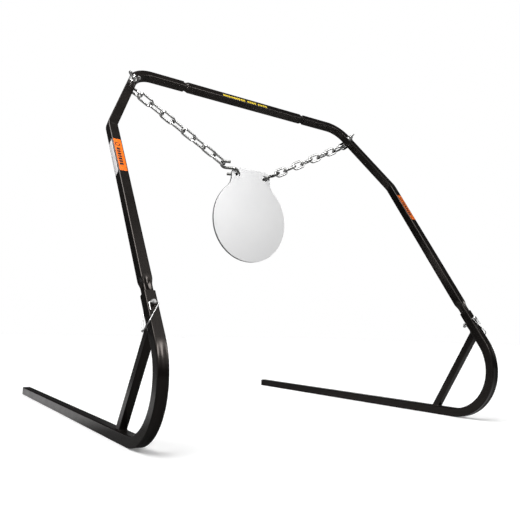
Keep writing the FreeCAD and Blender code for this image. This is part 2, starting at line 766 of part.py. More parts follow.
def link_shape():
    """One straight link: its inner ends are at 0 and link_pitch on X, its wire lies in XY."""
    wire = size("link_wire")
    half_gap = (size("link_gap") + wire) / 2
    near = half_gap - wire / 2
    far = size("link_pitch") - near
    left_end = Part.Arc(Vector(near, half_gap, 0), Vector(near - half_gap, 0, 0),
                        Vector(near, -half_gap, 0)).toShape()
    lower = Part.LineSegment(Vector(near, -half_gap, 0), Vector(far, -half_gap, 0)).toShape()
    right_end = Part.Arc(Vector(far, -half_gap, 0), Vector(far + half_gap, 0, 0),
                         Vector(far, half_gap, 0)).toShape()
    upper = Part.LineSegment(Vector(far, half_gap, 0), Vector(near, half_gap, 0)).toShape()
    spine = Part.Wire([left_end, lower, right_end, upper])
    section = Part.Wire([Part.Circle(Vector(near, half_gap, 0), X_AXIS, wire / 2).toShape()])
    return spine.makePipeShell([section], True, False)


def link_place(start, along, normal):
    """A link whose inner near end is at start, running along, with its plane's normal given."""
    turn = Rotation(along, Vector(0, 0, 0), normal, "XZY")
    return Placement(start, turn)


def chain_layout(side):
    """Where the end link starts, where the hanging chain starts, and both directions."""
    slope = math.radians(size("link_slope"))
    end_along = X_AXIS * (-side * math.cos(slope)) - UP * math.sin(slope)
    behind = HALF_TUBE + end_link_stack() / 2
    bolt = leaning(side * BOLT_X, BOLT_RISE, -behind)
    # the link is pulled on to the bolt, so its inner end is behind the bolt's far side
    end_start = bolt - end_along * (size("bolt_diameter") / 2 + size("link_play") / 2)
    # the next link's inner end overlaps the end link's by the play
    hang_point = end_start + end_along * size("link_pitch")
    hole = Vector(side * size("gong_hole_half"), hang_point.y, size("gong_hole_height"))
    along = hole - hang_point
    reach = along.Length
    along.normalize()
    return end_start, end_along, hang_point, along, reach


def link_start(number):
    """Distance down the chain of a hanging link's inner near end, with play at each joint."""
    return number * (size("link_pitch") - size("link_slack")) - size("swing_play")


def cross_direction(side, along, twist):
    """A direction across the chain: to the back at no twist, then turning downwards."""
    downward = along.cross(Y_AXIS) * side
    angle = math.radians(twist)
    return Y_AXIS * math.cos(angle) + downward * math.sin(angle)


def make_end_link(name, side):
    """First link of the chain, flat against the tube's back face on the bolt."""
    end_start, end_along = chain_layout(side)[:2]
    feature = doc.addObject("Part::Feature", "end_link_" + name)
    feature.Label = "end_link_" + name
    feature.Shape = link_shape()
    feature.Placement = link_place(end_start, end_along, FRONT)
    return feature


def make_chain(name, side):
    """The hanging links, each a quarter turn from the one before it."""
    hang_point, along = chain_layout(side)[2:4]
    start_twist = math.degrees(math.acos(-FRONT.y))
    end_twist = size("hook_twist_" + name)
    count = int(size("hanging_links"))
    links = []
    for k in range(count):
        share = (k + 1) / count
        twist = start_twist + (end_twist - start_twist) * share
        quarter = 90 if k % 2 == 0 else 0
        normal = cross_direction(side, along, twist + quarter)
        start = hang_point + along * link_start(k)
        link = link_shape()
        link.Placement = link_place(start, along, normal)
        links.append(link)
    chain = doc.addObject("Part::Feature", "chain_" + name)
    chain.Label = "chain_" + name
    chain.Shape = Part.makeCompound(links)
    return chain


# ---------------------------------------------------------------- hooks and gong

def make_hook(name, side):
    """S-hook from the last link to the gong's hole, bent from one length of rod."""
    hang_point, along, reach = chain_layout(side)[2:]
    radius = size("hook_radius")
    wire = size("hook_wire")
    last_link_end = link_start(size("hanging_links"))
    upper = last_link_end - wire / 2 - size("hook_play")
    span = reach - size("hook_lift") - upper
    # in the hook's own plane X runs down the chain and Y to the lower tip's side; the body
    # and both tips run along middle, and the two bends' centres lie on the X axis
    tilt = math.asin(2 * radius / (span - 2 * radius))
    middle = Vector(math.cos(tilt), -math.sin(tilt), 0)
    aside = Vector(math.sin(tilt), math.cos(tilt), 0)
    first = Vector(radius, 0, 0)
    second = Vector(span - radius, 0, 0)
    route = [first + (middle * size("hook_tip")) - aside * radius,
             first - (middle + aside) * radius,
             first - (middle - aside) * radius,
             second + (middle - aside) * radius,
             second + (middle + aside) * radius,
             second - (middle * size("hook_low_tip")) + aside * radius]
    radii = [radius] * 4
    hook = doc.addObject("Part::Feature", "s_hook_" + name)
    hook.Label = "s_hook_" + name
    hook.Shape = rod_along(route, radii, wire / 2)
    tip_side = cross_direction(side, along, size("hook_twist_" + name))
    turn = Rotation(along, tip_side, Vector(0, 0, 0), "XYZ")
    hook.Placement = Placement(hang_point + along * upper, turn)
    return hook


def make_gong():
    """Round plate drawn up into a neck, with two holes near its top edge."""
    hang_point = chain_layout(1)[2]
    height = size("gong_hole_height") + size("gong_hole_drop") - size("gong_top_rise")
    body = new_body("gong_plate", Placement(Vector(0, hang_point.y, height), Rotation()))
    outline = new_sketch(body, "gong_outline", "XZ_Plane")
    radius = size("gong_radius")
    neck = size("gong_neck_radius")
    half = size("gong_neck_half")
    top = size("gong_top_rise")
    corner = size("gong_top_corner")
    neck_x = half + neck
    neck_z = math.sqrt((radius + neck) ** 2 - neck_x ** 2)
    tangent = math.atan2(neck_z, neck_x)

    def arc(x, z, r, start, end):
        return Part.ArcOfCircle(Part.Circle(Vector(x, z, 0), Z_AXIS, r), start, end)

    outline.addGeometry([
        arc(0, 0, radius, math.pi - tangent, 2 * math.pi + tangent),
        arc(neck_x, neck_z, neck, math.pi, math.pi + tangent),
        Part.LineSegment(Vector(half, neck_z, 0), Vector(half, top - corner, 0)),
        arc(half - corner, top - corner, corner, 0, math.pi / 2),
        Part.LineSegment(Vector(half - corner, top, 0), Vector(corner - half, top, 0)),
        arc(corner - half, top - corner, corner, math.pi / 2, math.pi),
        Part.LineSegment(Vector(-half, top - corner, 0), Vector(-half, neck_z, 0)),
        arc(-neck_x, neck_z, neck, 2 * math.pi - tangent, 2 * math.pi),
    ], False)
    joints = [(0, 2, 1, 2), (1, 1, 2, 1), (2, 2, 3, 1), (3, 2, 4, 1),
              (4, 2, 5, 1), (5, 2, 6, 1), (6, 2, 7, 2), (7, 1, 0, 1)]
    for first, first_end, second, second_end in joints:
        outline.addConstraint(Sketcher.Constraint("Tangent", first, first_end,
                                                  second, second_end))
    outline.addConstraint(Sketcher.Constraint("Coincident", 0, 3, -1, 1))
    outline.addConstraint(Sketcher.Constraint("Vertical", 2))
    outline.addConstraint(Sketcher.Constraint("Vertical", 6))
    outline.addConstraint(Sketcher.Constraint("Horizontal", 4))
    outline.addConstraint(Sketcher.Constraint("Equal", 1, 7))
    outline.addConstraint(Sketcher.Constraint("Equal", 3, 5))
    bind(outline, Sketcher.Constraint("Radius", 0, radius), "disc", "dims.gong_radius")
    bind(outline, Sketcher.Constraint("Radius", 1, neck), "neck", "dims.gong_neck_radius")
    bind(outline, Sketcher.Constraint("Radius", 3, corner), "corner", "dims.gong_top_corner")
    bind(outline, Sketcher.Constraint("DistanceX", -1, 1, 2, 1, half), "neck_right",
         "dims.gong_neck_half")
    bind(outline, Sketcher.Constraint("DistanceX", 6, 2, -1, 1, half), "neck_left",
         "dims.gong_neck_half")
    bind(outline, Sketcher.Constraint("DistanceY", -1, 1, 4, 1, top), "top",
         "dims.gong_top_rise")
    plate = add_pad(body, outline, "dims.gong_thickness", midplane=True)
    doc.recompute()
    flat = 0.01
    rim = [f"Edge{k + 1}" for k, edge in enumerate(plate.Shape.Edges)
           if edge.BoundBox.YLength < flat]
    chamfer = body.newObject("PartDesign::Chamfer", "gong_chamfer")
    chamfer.Base = (plate, rim)
    chamfer.setExpression("Size", "dims.gong_edge_chamfer")
    body.Tip = chamfer
    for name, side in SIDES.items():
        hole_z = top - size("gong_hole_drop")
        hole = circle_sketch(body, "gong_hole_" + name, "XZ_Plane",
                             (side * size("gong_hole_half"), hole_z), "dims.gong_hole",
                             size("gong_hole"))
        add_pocket(body, hole, "dims.gong_thickness * 2", midplane=True)
    return body


# ---------------------------------------------------------------- assembly

parts = {}
for side_name, side_sign in SIDES.items():
    parts["base_tube_" + side_name] = make_base_tube(side_name, side_sign)
    parts["upright_" + side_name] = make_upright(side_name, side_sign)
    parts["brace_" + side_name] = make_brace(side_name, side_sign)
    parts["foot_cap_" + side_name] = make_foot_cap(side_name, side_sign)
    parts["label_" + side_name] = make_side_label(side_name, side_sign)
    parts["lock_pin_" + side_name] = make_lock_pin(side_name, side_sign)
    parts["pin_wire_" + side_name] = make_pin_wire(side_name, side_sign)
    parts["anchor_bolt_" + side_name] = make_anchor_bolt(side_name, side_sign)
    parts["front_washer_" + side_name] = make_washer("front_washer_" + side_name, side_sign,
                                                     HALF_TUBE)
    parts["back_washer_" + side_name] = make_washer(
        "back_washer_" + side_name, side_sign,
        -HALF_TUBE - end_link_stack() - size("washer_thickness"))
    parts["wing_nut_" + side_name] = make_wing_nut(side_name, side_sign)
    parts["end_link_" + side_name] = make_end_link(side_name, side_sign)
    parts["chain_" + side_name] = make_chain(side_name, side_sign)
    parts["s_hook_" + side_name] = make_hook(side_name, side_sign)
parts["crossbar"] = make_crossbar()
parts["crossbar_label"] = make_crossbar_label()
parts["gong_plate"] = make_gong()

doc.recompute()

failed = [o.Name for o in doc.Objects if "Invalid" in o.State or "Error" in o.State]
for label, part in parts.items():
    if part.Shape.isNull() or not part.Shape.isValid():
        failed.append(label)
if failed:
    raise RuntimeError("failed objects: " + ", ".join(failed))

os.makedirs(OUTPUT_FOLDER, exist_ok=True)
for label, part in parts.items():
    part.Shape.exportStep(os.path.join(OUTPUT_FOLDER, label + ".step"))
    box = part.Shape.BoundBox
    print(f"{label}: {len(part.Shape.Solids)} solid(s), {part.Shape.Volume:.0f} mm3, "
          f"Z {box.ZMin:.1f} to {box.ZMax:.1f}")
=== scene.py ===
import json
import math
import bmesh
import bpy
from mathutils import Matrix, Vector


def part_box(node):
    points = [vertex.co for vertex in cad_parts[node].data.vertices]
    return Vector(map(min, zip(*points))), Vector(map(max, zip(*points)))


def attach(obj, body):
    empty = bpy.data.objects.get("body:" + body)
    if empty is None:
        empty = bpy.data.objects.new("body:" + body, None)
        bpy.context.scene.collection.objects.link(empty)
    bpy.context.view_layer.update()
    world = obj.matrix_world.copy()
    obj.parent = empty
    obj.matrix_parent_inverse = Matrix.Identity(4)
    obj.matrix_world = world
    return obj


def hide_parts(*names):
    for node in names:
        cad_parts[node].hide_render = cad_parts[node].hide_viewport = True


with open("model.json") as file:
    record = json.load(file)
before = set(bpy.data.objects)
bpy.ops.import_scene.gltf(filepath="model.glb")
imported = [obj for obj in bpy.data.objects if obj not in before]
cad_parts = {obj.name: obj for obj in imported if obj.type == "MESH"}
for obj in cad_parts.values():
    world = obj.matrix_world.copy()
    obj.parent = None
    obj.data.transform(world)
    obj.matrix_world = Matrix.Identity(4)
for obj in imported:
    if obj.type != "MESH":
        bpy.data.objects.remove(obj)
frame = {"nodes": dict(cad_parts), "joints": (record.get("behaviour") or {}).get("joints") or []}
for stray_name in ("Cube", "Light", "Camera"):
    if stray_name in bpy.data.objects:
        bpy.data.objects.remove(bpy.data.objects[stray_name])
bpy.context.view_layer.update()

# ---------------------------------------------------------------- sizes and places, in metres

MM = 0.001
SIDES = {"left": -1, "right": 1}
X_AXIS = Vector((1, 0, 0))
Y_AXIS = Vector((0, 1, 0))
Z_AXIS = Vector((0, 0, 1))

TUBE = 25.4 * MM
HALF_TUBE = TUBE / 2
TUBE_CORNER = 2.6 * MM
TUBE_WALL = 2.0 * MM
NECK_HALF = 10.5 * MM
NECK_CORNER = 3.4 * MM

PIN_DROP = 33 * MM
SOCKET_LENGTH = 111 * MM
ARC_RADIUS = 134 * MM

UPRIGHT_LENGTH = 530 * MM
SHOULDER_RADIUS = 45 * MM
SHOULDER_TURN = 22.2
SHOULDER_RUN = 249.5 * MM
CORNER_RADIUS = 73 * MM
JOINT_HALF = 236.5 * MM
JOINT_SHIFT = -5.5 * MM
CROSSBAR_HALF = 348 * MM

UPRIGHT_SPIGOT = 62 * MM
UPRIGHT_NECK = (16 * MM, 36 * MM)
CROSSBAR_SPIGOT = 55 * MM
CROSSBAR_NECK = (6 * MM, 16 * MM)

BRACE = 19.05 * MM
BRACE_RISE = 46 * MM
BRACE_REACH = 70 * MM
WELD_RADIUS = 2.0 * MM
LABEL_LENGTH = 116 * MM
LABEL_DROP = {"left": 59 * MM, "right": 42 * MM}

WASHER = (8.4 * MM, 24 * MM, 1.8 * MM)
LINK_STACK = 13 * MM
BOLT = 8 * MM
BOLT_TIP = HALF_TUBE + 18 * MM
BOLT_HEAD = (13 * MM, 5.3 * MM)
NUT_TURN = -52

pin_joint = next(j for j in frame["joints"] if j["name"] == "lock_pin_right_turn")
PIN = Vector(pin_joint["pos_m"])
FRONT = Vector(pin_joint["axis"]).normalized()
UP = Vector((0, FRONT.z, -FRONT.y))
LEAN = math.atan2(UP.y, UP.z)
HALF_TRACK = PIN.x
SOCKET_TOP = Vector((0, PIN.y, PIN.z)) + UP * PIN_DROP


def box_centre(node):
    low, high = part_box(node)
    return (Vector(low) + Vector(high)) / 2


def leaning(x, rise, forward=0.0):
    """A point of the leaning frame: across, up along the lean, out of the front face."""
    return SOCKET_TOP + X_AXIS * x + UP * rise + FRONT * forward


FOOT_END = Vector(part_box("foot_cap_right")[1]).y - 3 * MM
ARC_END = SOCKET_TOP - UP * SOCKET_LENGTH
FOOT_START = (ARC_END - FRONT * ARC_RADIUS).y


# ---------------------------------------------------------------- materials

def new_material(name, base, roughness, metallic=0.0):
    material = bpy.data.materials.new(name)
    material.use_nodes = True
    shader = material.node_tree.nodes["Principled BSDF"]
    shader.inputs["Base Color"].default_value = (*base, 1)
    shader.inputs["Roughness"].default_value = roughness
    shader.inputs["Metallic"].default_value = metallic
    return material, material.node_tree, shader


def noise_node(tree, scale, detail=3.0, stretch=(1, 1, 1)):
    """Noise on object coordinates, in features per metre."""
    place = tree.nodes.new("ShaderNodeTexCoord")
    mapping = tree.nodes.new("ShaderNodeMapping")
    mapping.inputs["Scale"].default_value = stretch
    noise = tree.nodes.new("ShaderNodeTexNoise")
    noise.inputs["Scale"].default_value = scale
    noise.inputs["Detail"].default_value = detail
    tree.links.new(place.outputs["Object"], mapping.inputs["Vector"])
    tree.links.new(mapping.outputs["Vector"], noise.inputs["Vector"])
    return noise.outputs["Fac"]


def remap(tree, value, low_in, high_in, low_out, high_out):
    node = tree.nodes.new("ShaderNodeMapRange")
    node.inputs["From Min"].default_value = low_in
    node.inputs["From Max"].default_value = high_in
    node.inputs["To Min"].default_value = low_out
    node.inputs["To Max"].default_value = high_out
    tree.links.new(value, node.inputs["Value"])
    return node.outputs["Result"]


def mix_colours(tree, share, first, second):
    """A colour between two, where each is a tuple or another node's output."""
    node = tree.nodes.new("ShaderNodeMix")
    node.data_type = "RGBA"
    tree.links.new(share, node.inputs["Factor"])
    for socket, colour in ((node.inputs[6], first), (node.inputs[7], second)):
        if isinstance(colour, tuple):
            socket.default_value = (*colour, 1)
        else:
            tree.links.new(colour, socket)
    return node.outputs[2]


def add_bump(tree, shader, height, strength, distance):
    bump = tree.nodes.new("ShaderNodeBump")
    bump.inputs["Strength"].default_value = strength
    bump.inputs["Distance"].default_value = distance
    tree.links.new(height, bump.inputs["Height"])
    tree.links.new(bump.outputs["Normal"], shader.inputs["Normal"])
    return bump


def edge_wear_and_highlight(tree, low, high):
    """A mask that is 1 on sharp outside edges, broken up by noise; it marks wear and a painted
    highlight.
    """
    shape = tree.nodes.new("ShaderNodeNewGeometry")
    edge = remap(tree, shape.outputs["Pointiness"], low, high, 0, 1)
    broken = remap(tree, noise_node(tree, 45, 4), 0.4, 0.6, 0, 1)
    product = tree.nodes.new("ShaderNodeMath")
    product.operation = "MULTIPLY"
    tree.links.new(edge, product.inputs[0])
    tree.links.new(broken, product.inputs[1])
    return product.outputs["Value"]


def black_paint(name, edge_wear_and_sheen=True):
    """Gloss black powder coat: orange peel, faint dust, and sharp edges painted lighter as wear and as
    a painted highlight.
    """
    material, tree, shader = new_material(name, (0.006, 0.0052, 0.0047), 0.2)
    dust = remap(tree, noise_node(tree, 9, 5), 0.42, 0.72, 0, 1)
    base = mix_colours(tree, dust, (0.0052, 0.0044, 0.004), (0.0105, 0.0088, 0.0078))
    if edge_wear_and_sheen:
        # painted highlight and wear: sharp outside edges get a lighter brown-grey
        base = mix_colours(tree, edge_wear_and_highlight(tree, 0.56, 0.66), base, (0.034, 0.03, 0.027))
    tree.links.new(base, shader.inputs["Base Color"])
    rough = remap(tree, noise_node(tree, 34, 4), 0.3, 0.7, 0.15, 0.25)
    tree.links.new(rough, shader.inputs["Roughness"])
    shader.inputs["Specular IOR Level"].default_value = 0.5
    shader.inputs["Specular Tint"].default_value = (1.0, 0.9, 0.84, 1)
    add_bump(tree, shader, noise_node(tree, 140, 2), 0.02, 0.0002)
    return material


def white_paint():
    """Satin white spray coat over a thick plate, with painted shade on the cut rim."""
    material, tree, shader = new_material("white_paint", (0.8, 0.8, 0.8), 0.42)
    cloud = remap(tree, noise_node(tree, 7, 4), 0.3, 0.75, 0, 1)
    base = mix_colours(tree, cloud, (0.68, 0.68, 0.68), (0.63, 0.63, 0.635))
    # painted shade: where the normal lies across Y, on the plate's rim, the colour is painted dark grey
    shape = tree.nodes.new("ShaderNodeNewGeometry")
    split = tree.nodes.new("ShaderNodeSeparateXYZ")
    tree.links.new(shape.outputs["Normal"], split.inputs["Vector"])
    size = tree.nodes.new("ShaderNodeMath")
    size.operation = "ABSOLUTE"
    tree.links.new(split.outputs["Y"], size.inputs[0])
    rim = remap(tree, size.outputs["Value"], 0.25, 0.75, 1, 0)
    cut = mix_colours(tree, rim, base, (0.17, 0.17, 0.175))
    tree.links.new(cut, shader.inputs["Base Color"])
    rough = remap(tree, noise_node(tree, 60, 4), 0.3, 0.7, 0.36, 0.5)
    tree.links.new(rough, shader.inputs["Roughness"])
    add_bump(tree, shader, noise_node(tree, 700, 3), 0.16, 0.0003)
    return material


def zinc(name, tint, rough_low, rough_high, grain):
    """Bright zinc plate: spangled tone, uneven gloss and a fine drawn grain."""
    material, tree, shader = new_material(name, tint, rough_low, 1.0)
    cloud = remap(tree, noise_node(tree, 220, 5), 0.32, 0.7, 0, 1)
    dark = tuple(channel * 0.62 for channel in tint)
    tree.links.new(mix_colours(tree, cloud, tint, dark), shader.inputs["Base Color"])
    rough = remap(tree, noise_node(tree, 500, 4), 0.3, 0.7, rough_low, rough_high)
    tree.links.new(rough, shader.inputs["Roughness"])
    add_bump(tree, shader, noise_node(tree, grain, 4), 0.25, 0.0003)
    return material


def printed(name, colour, roughness=0.3):
    """Printed plastic film with a soft unevenness in its ink."""
    material, tree, shader = new_material(name, colour, roughness)
    share = remap(tree, noise_node(tree, 140, 4), 0.3, 0.7, 0, 1)
    faded = tuple(channel * 0.82 for channel in colour)
    tree.links.new(mix_colours(tree, share, colour, faded), shader.inputs["Base Color"])
    rough = remap(tree, noise_node(tree, 90, 3), 0.3, 0.7, roughness - 0.06, roughness + 0.08)
    tree.links.new(rough, shader.inputs["Roughness"])
    add_bump(tree, shader, noise_node(tree, 260, 2), 0.1, 0.0002)
    return material


def moulded_plastic():
    """Matt black moulded plastic with a fine spark-eroded texture."""
    material, tree, shader = new_material("black_plastic", (0.008, 0.008, 0.008), 0.5)
    share = remap(tree, noise_node(tree, 60, 4), 0.3, 0.7, 0, 1)
    tree.links.new(mix_colours(tree, share, (0.006, 0.006, 0.006), (0.013, 0.012, 0.012)),
                   shader.inputs["Base Color"])
    rough = remap(tree, noise_node(tree, 300, 3), 0.3, 0.7, 0.48, 0.64)
    tree.links.new(rough, shader.inputs["Roughness"])
    add_bump(tree, shader, noise_node(tree, 1500, 2), 0.35, 0.0002)
    return material


PAINT = black_paint("black_paint")
BRACE_PAINT = black_paint("brace_paint", edge_wear_and_sheen=False)
WHITE = white_paint()
CHAIN_ZINC = zinc("chain_zinc", (0.7, 0.7, 0.69), 0.14, 0.26, 900)
BRIGHT_ZINC = zinc("bright_zinc", (0.9, 0.9, 0.89), 0.2, 0.36, 1200)
HOOK_STEEL = zinc("hook_steel", (0.26, 0.26, 0.25), 0.16, 0.3, 900)
ORANGE = printed("orange_film", (0.8, 0.15, 0.01))
LABEL_WHITE = printed("white_film", (0.92, 0.9, 0.91))
DARK_INK = printed("dark_ink", (0.035, 0.02, 0.015))
YELLOW_INK = printed("yellow_ink", (0.7, 0.52, 0.04))
STRIP_FILM = printed("strip_film", (0.012, 0.011, 0.01))
PLASTIC = moulded_plastic()


# ---------------------------------------------------------------- mesh helpers

def add_piece(name, verts, faces, material, body, slot, nodes=(), sharp_angle=38, weighted=True):
    """A mesh piece with smooth shading, split at its sharp edges."""
    mesh = bpy.data.meshes.new(name)
    mesh.from_pydata([tuple(v) for v in verts], [], faces)
    piece = bpy.data.objects.new(name, mesh)
    return dress(piece, material, body, nodes, sharp_angle, weighted)


def dress(piece, material, body, nodes=(), sharp_angle=38, weighted=True):
    shaping = bmesh.new()
    shaping.from_mesh(piece.data)
    bmesh.ops.remove_doubles(shaping, verts=shaping.verts, dist=1e-6)
    bmesh.ops.recalc_face_normals(shaping, faces=shaping.faces)
    limit = math.radians(sharp_angle)
    for face in shaping.faces:
        face.smooth = True
    for edge in shaping.edges:
        edge.smooth = len(edge.link_faces) == 2 and edge.calc_face_angle() < limit
    shaping.to_mesh(piece.data)
    shaping.free()
    bpy.context.collection.objects.link(piece)
    piece.data.materials.clear()
    piece.data.materials.append(material)
    if weighted:
        normals = piece.modifiers.new("face_normals", "WEIGHTED_NORMAL")
        normals.keep_sharp = True
        normals.weight = 100
    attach(piece, body)
    if nodes:
        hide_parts(*nodes)
    return piece


def loft(rings, wrap=False, capped=True):
    """Vertices and faces of a skin over rings that all have as many points."""
    count = len(rings[0])
    verts = [v for ring in rings for v in ring]
    faces = []
    for r in range(len(rings) if wrap else len(rings) - 1):
        after = (r + 1) % len(rings)
        for k in range(count):
            j = (k + 1) % count
            faces.append((r * count + k, r * count + j, after * count + j, after * count + k))
    if capped and not wrap:
        last = (len(rings) - 1) * count
        faces.append(tuple(reversed(range(count))))
        faces.append(tuple(last + k for k in range(count)))
    return verts, faces


def together(*shells):
    """Several shells' vertices and faces as one."""
    verts, faces = [], []
    for shell_verts, shell_faces in shells:
        start = len(verts)
        verts += list(shell_verts)
        faces += [tuple(start + k for k in face) for face in shell_faces]
    return verts, faces


def square_ring(half, corner, dents=(0, 0, 0, 0)):
    """A round-cornered square in (p, q); each side can be pressed in at its middle."""
    side_steps, corner_steps = 8, 6
    flat = half - corner
    points = []
    for side in range(4):
        turn = side * math.pi / 2
        out = Vector((math.cos(turn), math.sin(turn)))
        along = Vector((-math.sin(turn), math.cos(turn)))
        for k in range(side_steps + 1):
            t = 2 * k / side_steps - 1
            reach = half - dents[side] * math.cos(t * math.pi / 2) ** 2
            points.append(out * reach + along * (flat * t))
        for k in range(1, corner_steps):
            angle = turn + math.pi / 2 * k / corner_steps
            centre = (out + along) * flat
            points.append(centre + Vector((math.cos(angle), math.sin(angle))) * corner)
    return points


def smooth_step(value, low, high):
    t = min(max((value - low) / (high - low), 0), 1)
    return t * t * (3 - 2 * t)


RUN_STEP = 24.1 * MM


def walk(start, heading, steps, stops=()):
    """Stations (a, b, heading, distance, bend number, share of the bend) of a bent tube."""
    a, b = start
    angle = math.radians(heading)
    distance = 0.0
    stations = [(a, b, angle, 0.0, None, 0.0)]
    bend = 0
    for step in steps:
        if step[0] == "run":
            length = step[1]
            marks = [m - distance for m in stops if distance < m < distance + length]
            marks += [k * RUN_STEP for k in range(1, int(length / RUN_STEP) + 1)]
            for mark in sorted(marks) + [length]:
                stations.append((a + math.cos(angle) * mark, b + math.sin(angle) * mark,
                                 angle, distance + mark, None, 0.0))
            a += math.cos(angle) * length
            b += math.sin(angle) * length
            distance += length
        else:
            radius, turn = step[1], math.radians(step[2])
            hand = 1 if turn > 0 else -1
            ca = a - math.sin(angle) * radius * hand
            cb = b + math.cos(angle) * radius * hand
            count = max(int(abs(step[2]) / 1.8), 4)
            for k in range(1, count + 1):
                h = angle + turn * k / count
                stations.append((ca + math.sin(h) * radius * hand, cb - math.cos(h) * radius * hand,
                                 h, distance + abs(turn) * radius * k / count, bend, k / count))
            angle += turn
            a, b = stations[-1][0], stations[-1][1]
            distance += abs(turn) * radius
            bend += 1
    return stations


def tube_shell(stations, origin, first, second, shape, wall_depth=(0.02, 0.02)):
    """A tube along stations in the plane of first and second, with open, hollow ends.

    shape gives (half size, corner radius, dents) for a station.
    """
    normal = first.cross(second)

    def placed(station, ring, shift=0.0):
        a, b, h = station[:3]
        ahead = first * math.cos(h) + second * math.sin(h)
        across = second * math.cos(h) - first * math.sin(h)
        centre = origin + first * a + second * b + ahead * shift
        return [centre + across * p + normal * q for p, q in ring]

    rings = [placed(s, square_ring(*shape(s))) for s in stations]
    ends = []
    for station, depth in ((stations[0], wall_depth[0]), (stations[-1], -wall_depth[1])):
        half, corner = shape(station)[:2]
        bore = square_ring(half - TUBE_WALL, max(corner - TUBE_WALL, 0.8 * MM))
        ends.append((placed(station, bore), placed(station, bore, depth)))
    rings = [ends[0][1], ends[0][0]] + rings + [ends[1][0], ends[1][1]]
    return loft(rings)


def lathe(origin, axis, profile, steps=48, wrap=False):
    """A turned shell; profile is (radius, height) along axis from origin."""
    axis = axis.normalized()
    side = axis.orthogonal().normalized()
    other = axis.cross(side)
    rings = []
    for radius, height in profile:
        ring = []
        for k in range(steps):
            angle = 2 * math.pi * k / steps
            ring.append(origin + axis * height
                        + (side * math.cos(angle) + other * math.sin(angle)) * radius)
        rings.append(ring)
    return loft(rings, wrap=wrap)


def flat_plate(loops, thickness, bevel, place):
    """A plate cut to the first loop, with the other loops as holes and rounded edges."""
    outline = bpy.data.curves.new("outline", "CURVE")
    outline.dimensions = "2D"
    outline.fill_mode = "BOTH"
    for loop in loops:
        spline = outline.splines.new("POLY")
        spline.points.add(len(loop) - 1)
        for point, (x, y) in zip(spline.points, loop):
            point.co = (x, y, 0, 1)
        spline.use_cyclic_u = True
    outline.extrude = thickness / 2 - bevel
    outline.bevel_depth = bevel
    outline.bevel_resolution = 2
    outline.offset = -bevel
    source = bpy.data.objects.new("outline", outline)
    mesh = bpy.data.meshes.new_from_object(source)
    mesh.transform(place)
    verts = [v.co.copy() for v in mesh.vertices]
    faces = [tuple(p.vertices) for p in mesh.polygons]
    bpy.data.objects.remove(source)
    bpy.data.curves.remove(outline)
    return verts, faces


def frame_matrix(origin, x_axis, y_axis):
    """A matrix whose local X, Y and Z run along x_axis, y_axis and their cross product."""
    z_axis = x_axis.cross(y_axis)
    matrix = Matrix((x_axis, y_axis, z_axis)).transposed().to_4x4()
    matrix.translation = origin
    return matrix


def arc_points(centre, radius, start, end, step=4.0):
    count = max(int(abs(end - start) / step), 2)
    angles = [math.radians(start + (end - start) * k / count) for k in range(count + 1)]
    return [(centre[0] + radius * math.cos(t), centre[1] + radius * math.sin(t)) for t in angles]


# ---------------------------------------------------------------- bent tubes

def dent_shape(distance, start, top, end, depth):
    """How deep a pressed flute is: nothing before start, depth at top, nothing after end."""
    return depth * smooth_step(distance, start, top) * (1 - smooth_step(distance, top, end))


def make_upright(name, side):
    """Upright whose lower end is swaged and fluted, with press marks inside its bends."""
    full = UPRIGHT_SPIGOT + UPRIGHT_NECK[1]
    neck = UPRIGHT_SPIGOT + UPRIGHT_NECK[0]
    stops = [UPRIGHT_SPIGOT + k * 2 * MM for k in range(-5, 26)]
    stations = walk((side * HALF_TRACK, -UPRIGHT_SPIGOT), 90, [
        ("run", UPRIGHT_SPIGOT + UPRIGHT_LENGTH),
        ("bend", SHOULDER_RADIUS, side * SHOULDER_TURN),
        ("run", SHOULDER_RUN),
        ("bend", CORNER_RADIUS, side * (90 - SHOULDER_TURN)),
        ("run", CROSSBAR_HALF - JOINT_HALF - side * JOINT_SHIFT),
    ], stops)
    inside = 0 if side > 0 else 2

    def shape(station):
        distance, bend, share = station[3:]
        share_full = smooth_step(distance, neck, full)
        half = NECK_HALF + (HALF_TUBE - NECK_HALF) * share_full
        corner = NECK_CORNER + (TUBE_CORNER - NECK_CORNER) * share_full
        flute = dent_shape(distance, UPRIGHT_SPIGOT - 6 * MM, neck + 3 * MM, full + 8 * MM, 3.2 * MM)
        dents = [flute] * 4
        if bend is not None:
            waves, depth = (2, 0.9 * MM) if bend == 0 else (5, 0.45 * MM)
            dents[inside] = depth * (0.5 - 0.5 * math.cos(2 * math.pi * waves * share))
            if bend == 0:
                dents[1] = -dent_shape(share, 0.1, 0.26, 0.7, 0.55 * MM)
        return half, corner, dents

    verts, faces = tube_shell(stations, SOCKET_TOP, X_AXIS, UP, shape)
    add_piece("upright_body_" + name, verts, faces, PAINT, "frame", "black_paint",
              ["upright_" + name])


def make_crossbar():
    """Straight tube with a swaged, fluted spigot at each end."""
    reach = JOINT_HALF + CROSSBAR_SPIGOT
    bar_rise = (box_centre("crossbar") - SOCKET_TOP).dot(UP)
    marks = [JOINT_HALF - 24 * MM + k * 2 * MM for k in range(17)]
    stops = sorted([reach - m for m in marks] + [reach + m for m in marks])
    stations = walk((JOINT_SHIFT - reach, bar_rise), 0, [("run", 2 * reach)], stops)

    def shape(station):
        outward = JOINT_HALF - abs(station[3] - reach)
        share_full = smooth_step(outward, CROSSBAR_NECK[0], CROSSBAR_NECK[1])
        half = NECK_HALF + (HALF_TUBE - NECK_HALF) * share_full
        corner = NECK_CORNER + (TUBE_CORNER - NECK_CORNER) * share_full
        flute = dent_shape(outward, -5 * MM, CROSSBAR_NECK[0] + 2 * MM, CROSSBAR_NECK[1] + 6 * MM,
                           2.0 * MM)
        return half, corner, [flute] * 4

    verts, faces = tube_shell(stations, SOCKET_TOP, X_AXIS, UP, shape)
    add_piece("crossbar_body", verts, faces, PAINT, "frame", "black_paint", ["crossbar"])


